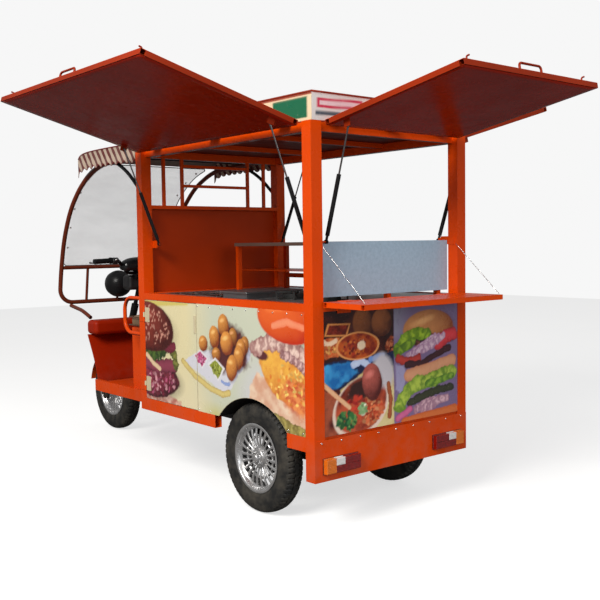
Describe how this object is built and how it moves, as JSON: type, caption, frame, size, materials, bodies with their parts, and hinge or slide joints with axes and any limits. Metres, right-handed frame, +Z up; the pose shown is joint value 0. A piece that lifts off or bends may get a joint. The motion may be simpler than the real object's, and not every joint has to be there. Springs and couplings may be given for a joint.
{
  "type": "push vending cart",
  "caption": "Three-wheeled food vending cart with a cooking counter, lift-up side and rear flaps, a fold-down serving shelf and a covered driver's cab.",
  "frame": {"origin": "on the ground under the middle of the cart's bounding box", "axes": "-Y is the driving direction, +Y the tail with the serving shelf, +X the cart's left, +Z up; the wheels stand on Z = 0"},
  "size_m": [2.5418, 3.7748, 2.0435],
  "materials": {
    "orange_paint": "gloss",
    "flap_paint": "gloss",
    "cream_panel": "satin",
    "white_sign": "satin",
    "black_paint": "satin",
    "brown_paint": "satin",
    "worktop_steel": "brushed",
    "zinc_steel": "satin",
    "bright_steel": "polished",
    "iron": "matt",
    "griddle_steel": "worn",
    "alloy": "satin",
    "tread": "matt",
    "lamp_red": "gloss",
    "black_plastic": "matt",
    "grip_rubber": "matt",
    "striped_cloth": "woven",
    "seat_vinyl": "grained",
    "clear_sheet": "clear",
    "board": "painted board"
  },
  "bodies": {
    "cart": {"chassis_frame": "black_paint", "body_frame": "orange_paint", "front_wall": "orange_paint", "left_side_panel": "cream_panel", "right_side_panel": "cream_panel", "body_floor": "zinc_steel", "rear_graphic_panel": "cream_panel", "lower_rear_panel": "orange_paint", "tail_lamps": "lamp_red", "roof_panel": "flap_paint", "roof_sign_box": "white_sign", "cab_floor": "orange_paint", "rear_axle": "iron", "leaf_springs": "black_paint", "headlamp": "black_paint", "windscreen_frame": "brown_paint", "canopy_braces": "black_paint", "cab_canopy": "striped_cloth", "windscreen": "clear_sheet", "leg_shield": "orange_paint", "dashboard_locker": "orange_paint", "seat_base": "orange_paint", "seat_cushion": "seat_vinyl", "motor_controller": "alloy", "battery_pack": "black_plastic", "counter_top": "worktop_steel", "serving_pans": "bright_steel", "griddle": "griddle_steel", "gas_burners": "iron", "cabinet_frame": "orange_paint", "cabinet_top": "board", "rear_board": "worktop_steel", "hinges_and_brackets": "zinc_steel"},
    "left_flap": {"left_flap_frame": "flap_paint", "left_flap_skin": "orange_paint"},
    "right_flap": {"right_flap_frame": "flap_paint", "right_flap_skin": "orange_paint"},
    "rear_flap": {"rear_flap_frame": "flap_paint", "rear_flap_skin": "orange_paint"},
    "left_cylinder": {"left_strut_cylinder": "black_paint"},
    "left_rod": {"left_strut_rod": "bright_steel"},
    "right_cylinder": {"right_strut_cylinder": "black_paint"},
    "right_rod": {"right_strut_rod": "bright_steel"},
    "rear_cylinder": {"rear_strut_cylinder": "black_paint"},
    "rear_rod": {"rear_strut_rod": "bright_steel"},
    "shelf": {"serving_shelf": "orange_paint", "stay_wires": "bright_steel"},
    "door": {"storage_door": "cream_panel"},
    "steering": {"steering_fork": "black_paint", "handlebar": "black_paint", "steering_nacelle": "black_plastic", "front_mudguard": "orange_paint"},
    "throttle": {"throttle_grip": "grip_rubber"},
    "pedal": {"brake_pedal": "black_paint"},
    "front_wheel": {"front_tyre": "tread", "front_rim": "alloy"},
    "rear_left_wheel": {"rear_left_tyre": "tread", "rear_left_rim": "alloy"},
    "rear_right_wheel": {"rear_right_tyre": "tread", "rear_right_rim": "alloy"}
  },
  "joints": [
    {"name": "left_flap_hinge", "type": "hinge", "parent": "cart", "child": "left_flap", "pos_m": [0.506, 0, 1.8065], "axis": [0, -1, 0], "range_deg": [-105.5, 0]},
    {"name": "left_cylinder_pivot", "type": "hinge", "parent": "cart", "child": "left_cylinder", "pos_m": [0.43, 0, 1.285], "axis": [0, -1, 0], "range_deg": [0, 17.3]},
    {"name": "left_rod_slide", "type": "slide", "parent": "left_cylinder", "child": "left_rod", "axis": [0.365, 0, 0.931], "range_m": [-0.138, 0]},
    {"name": "right_flap_hinge", "type": "hinge", "parent": "cart", "child": "right_flap", "pos_m": [-0.506, 0, 1.8065], "axis": [0, 1, 0], "range_deg": [-105.5, 0]},
    {"name": "right_cylinder_pivot", "type": "hinge", "parent": "cart", "child": "right_cylinder", "pos_m": [-0.43, 0, 1.285], "axis": [0, 1, 0], "range_deg": [0, 17.3]},
    {"name": "right_rod_slide", "type": "slide", "parent": "right_cylinder", "child": "right_rod", "axis": [-0.365, 0, 0.931], "range_m": [-0.138, 0]},
    {"name": "rear_flap_hinge", "type": "hinge", "parent": "cart", "child": "rear_flap", "pos_m": [0, 1.111, 1.8065], "axis": [1, 0, 0], "range_deg": [-100, 0]},
    {"name": "rear_cylinder_pivot", "type": "hinge", "parent": "cart", "child": "rear_cylinder", "pos_m": [0.385, 1.065, 1.285], "axis": [1, 0, 0], "range_deg": [0, 17.3]},
    {"name": "rear_rod_slide", "type": "slide", "parent": "rear_cylinder", "child": "rear_rod", "axis": [0, 0.2952, 0.9555], "range_m": [-0.0952, 0]},
    {"name": "shelf_hinge", "type": "hinge", "parent": "cart", "child": "shelf", "pos_m": [0, 1.11, 1.023], "axis": [1, 0, 0], "range_deg": [0, 90], "deforming": ["stay_wires"]},
    {"name": "storage_door_hinge", "type": "hinge", "parent": "cart", "child": "door", "pos_m": [0.505, -0.325, 0.7], "axis": [0, 0, -1], "range_deg": [0, 110]},
    {"name": "steering_turn", "type": "hinge", "parent": "cart", "child": "steering", "pos_m": [0, -1.605, 0.263], "axis": [0, 0.4067, 0.9135], "range_deg": [-40, 40]},
    {"name": "front_wheel_spin", "type": "hinge", "parent": "steering", "child": "front_wheel", "pos_m": [0, -1.615, 0.263], "axis": [1, 0, 0], "continuous": true},
    {"name": "rear_left_wheel_spin", "type": "hinge", "parent": "cart", "child": "rear_left_wheel", "pos_m": [0.422, 0.63, 0.263], "axis": [1, 0, 0], "continuous": true},
    {"name": "rear_right_wheel_spin", "type": "hinge", "parent": "cart", "child": "rear_right_wheel", "pos_m": [-0.422, 0.63, 0.263], "axis": [1, 0, 0], "continuous": true},
    {"name": "throttle_twist", "type": "hinge", "parent": "steering", "child": "throttle", "pos_m": [-0.19, -1.195, 1.186], "axis": [-0.9803, 0.1961, -0.0258], "range_deg": [0, 70], "stiffness_Nm_per_rad": 0.35},
    {"name": "brake_pedal_hinge", "type": "hinge", "parent": "cart", "child": "pedal", "pos_m": [-0.15, -1, 0.47], "axis": [1, 0, 0], "range_deg": [0, 20], "stiffness_Nm_per_rad": 40, "springref_deg": -2.86}
  ],
  "couplings": [
    {"joint": "left_cylinder_pivot", "follows": "left_flap_hinge", "ratio": -0.1629},
    {"joint": "left_rod_slide", "follows": "left_flap_hinge", "m_per_rad": 0.07491},
    {"joint": "right_cylinder_pivot", "follows": "right_flap_hinge", "ratio": -0.1629},
    {"joint": "right_rod_slide", "follows": "right_flap_hinge", "m_per_rad": 0.07491},
    {"joint": "rear_cylinder_pivot", "follows": "rear_flap_hinge", "ratio": -0.17167},
    {"joint": "rear_rod_slide", "follows": "rear_flap_hinge", "m_per_rad": 0.054475}
  ]
}
